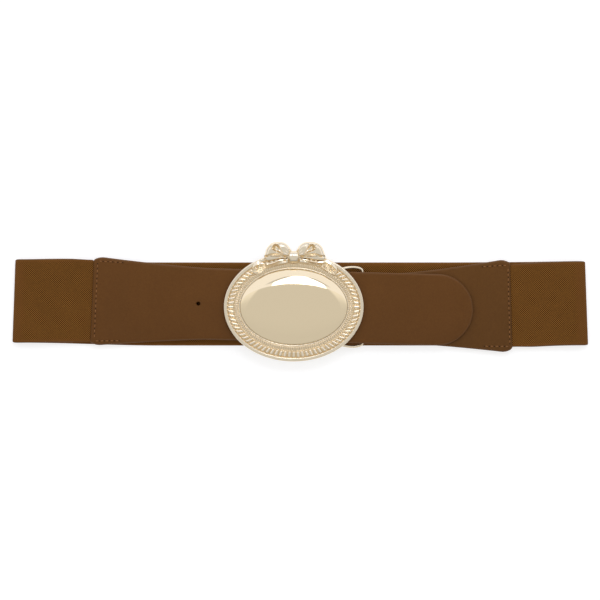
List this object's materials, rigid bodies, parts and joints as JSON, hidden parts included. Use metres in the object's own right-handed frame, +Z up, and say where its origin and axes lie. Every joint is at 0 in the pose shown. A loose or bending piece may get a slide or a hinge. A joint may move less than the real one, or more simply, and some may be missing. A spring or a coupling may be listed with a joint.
{
  "type": "elastic stretch belt",
  "caption": "Wide woven elastic waist belt with stitched leather ends, fastened by an oval domed plate buckle with a cast bow, lying flat.",
  "frame": {"origin": "middle of the footprint of the closed belt as it lies, on the table", "axes": "+X along the belt from the strap with the holes towards the strap on the bail, +Y across it towards the bow, +Z up out of the plate's face"},
  "size_m": [0.3456, 0.0718, 0.0165],
  "materials": {
    "elastic": "fine twill-like woven elastic with plain edges, matt brown",
    "leather": "smooth semi-matt brown leather with painted edges",
    "cast_gold": "pale champagne gold plating over a fine casting",
    "polished_gold": "mirror-polished pale champagne gold plating",
    "wire_gold": "polished pale gold plated wire"
  },
  "bodies": {
    "root": {"elastic_band": "elastic", "tongue_strap": "leather", "buckle_strap": "leather", "buckle_frame": "cast_gold", "dome_plate": "polished_gold", "bail": "wire_gold"}
  },
  "joints": []
}
